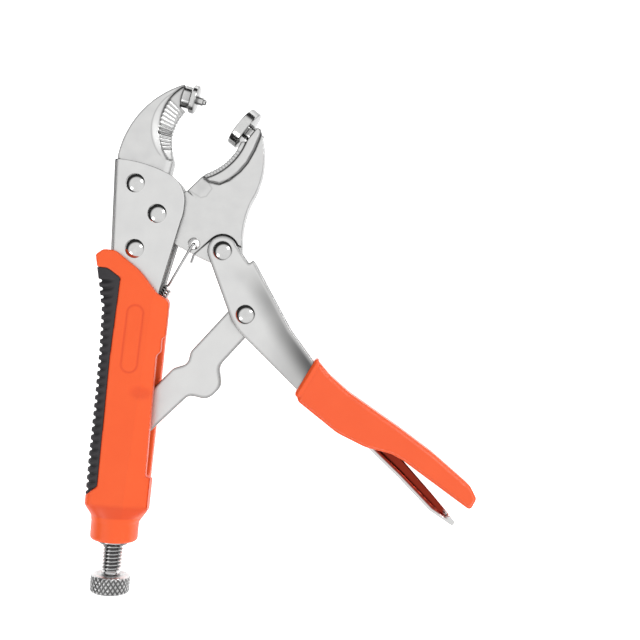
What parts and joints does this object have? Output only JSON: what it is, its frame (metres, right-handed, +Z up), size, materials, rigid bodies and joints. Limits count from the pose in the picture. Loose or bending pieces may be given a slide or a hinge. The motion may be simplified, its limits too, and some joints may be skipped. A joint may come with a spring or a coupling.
{
  "type": "snap setter pliers",
  "caption": "Locking pliers with curved toothed jaws that carry a flaring punch and a cup die for setting snaps, with an adjusting screw and a release lever.",
  "frame": {"origin": "bottom centre of the box around the tool as it lies on its side with the jaws open", "axes": "+X from the fixed handle towards the moving handle, +Y along the fixed handle towards the jaws, +Z up through the thickness of the tool"},
  "size_m": [0.1914, 0.2502, 0.024],
  "materials": {
    "plated_sheet": "satin nickel plate",
    "forged_steel": "satin forged and plated",
    "bright_steel": "bright turned steel",
    "polished_sheet": "polished sheet",
    "spring_wire": "bright wire",
    "orange_shell": "moulded, satin",
    "dipped_sleeve": "dipped vinyl, satin",
    "soft_insert": "soft moulded, matte"
  },
  "bodies": {
    "fixed_handle": {"handle_channel": "plated_sheet", "fixed_jaw": "forged_steel", "upper_jaw_rivet": "bright_steel", "lower_jaw_rivet": "bright_steel", "jaw_pivot_rivet": "bright_steel", "punch_holder": "bright_steel", "flaring_punch": "bright_steel", "grip_shell": "orange_shell", "grip_insert": "soft_insert", "screw_nut": "bright_steel", "jaw_spring": "spring_wire"},
    "moving_jaw": {"moving_jaw": "forged_steel", "cup_die": "bright_steel", "cup_die_stud": "bright_steel"},
    "lever": {"lever_channel": "plated_sheet", "lever_pivot_rivet": "bright_steel", "link_pivot_rivet": "bright_steel", "lever_grip": "dipped_sleeve", "release_pin": "bright_steel"},
    "release_lever": {"release_lever": "polished_sheet"},
    "toggle_link": {"toggle_link": "plated_sheet"},
    "adjusting_screw": {"adjusting_screw": "bright_steel"},
    "adjusting_knob": {"adjusting_knob": "bright_steel"}
  },
  "joints": [
    {"name": "jaw_swing", "type": "hinge", "parent": "fixed_handle", "child": "moving_jaw", "pos_m": [-0.06869, 0.06033, 0.012], "axis": [0, 0, 1], "range_deg": [0, 22.35], "stiffness_Nm_per_rad": 0.3, "springref_deg": -28.65, "deforming": ["jaw_spring"]},
    {"name": "lever_swing", "type": "hinge", "parent": "moving_jaw", "child": "lever", "pos_m": [-0.03609, 0.04533, 0.012], "axis": [0, 0, 1], "range_deg": [-68.62, 0.1]},
    {"name": "link_swing", "type": "hinge", "parent": "lever", "child": "toggle_link", "pos_m": [-0.02249, 0.01563, 0.012], "axis": [0, 0, 1], "range_deg": [-0.1, 62.91]},
    {"name": "release_squeeze", "type": "hinge", "parent": "lever", "child": "release_lever", "pos_m": [0.02741, -0.02767, 0.012], "axis": [0, 0, 1], "range_deg": [0, 5]},
    {"name": "screw_travel", "type": "slide", "parent": "fixed_handle", "child": "adjusting_screw", "axis": [0, 1, 0], "range_m": [-0.00875, 0]},
    {"name": "knob_spin", "type": "hinge", "parent": "adjusting_screw", "child": "adjusting_knob", "pos_m": [-0.07759, -0.11587, 0.012], "axis": [0, 1, 0], "range_deg": [-1802, 2]}
  ],
  "couplings": [
    {"joint": "lever_swing", "follows": "jaw_swing", "ratio": -3.0655},
    {"joint": "link_swing", "follows": "jaw_swing", "ratio": 2.8099},
    {"joint": "knob_spin", "follows": "screw_travel", "rad_per_m": 3590.4}
  ]
}
